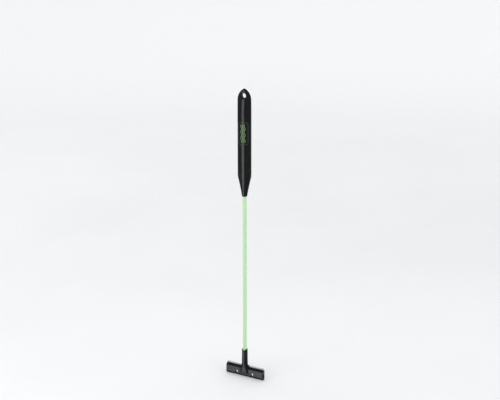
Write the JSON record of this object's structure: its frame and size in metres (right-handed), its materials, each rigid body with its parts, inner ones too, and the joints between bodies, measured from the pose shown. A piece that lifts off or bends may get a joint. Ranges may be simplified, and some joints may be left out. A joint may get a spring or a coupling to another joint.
{
  "type": "algae scraper",
  "caption": "Long-handled aquarium glass scraper: faceted grip with a hanging hole, thin sleeved rod and a T-shaped head that clamps a steel blade, which slides out sideways.",
  "frame": {"origin": "middle of the hanging hole in the grip, on the hole's axis and on the rod's axis", "axes": "+Z along the rod towards the grip's tip, +Y towards the back, where the blade and the rear jaw are, +X to the right seen from the front"},
  "size_m": [0.0642, 0.0104, 0.4505],
  "materials": {
    "grip_plastic": "fine-grained black moulding",
    "cover_plastic": "fine-grained black moulding",
    "mint_sleeve": "smooth mint-green plastic",
    "core_steel": "drawn steel",
    "plug_rubber": "moulded rubber",
    "pin_steel": "ground steel",
    "head_plastic": "fine-grained black moulding",
    "rear_jaw_plastic": "fine-grained black moulding",
    "blade_steel": "rolled stainless strip with a ground edge"
  },
  "bodies": {
    "holder": {"grip_body": "grip_plastic", "grip_back_cover": "cover_plastic", "rod_sleeve": "mint_sleeve", "rod_core": "core_steel", "rod_upper_plug": "plug_rubber", "rod_lower_plug": "plug_rubber", "grip_cross_pin": "pin_steel", "head_cross_pin": "pin_steel", "head_front_jaw": "head_plastic", "head_rear_jaw": "rear_jaw_plastic"},
    "blade": {"blade": "blade_steel"}
  },
  "joints": [
    {"name": "blade_slide", "type": "slide", "parent": "holder", "child": "blade", "axis": [1, 0, 0], "range_m": [0, 0.064]}
  ]
}
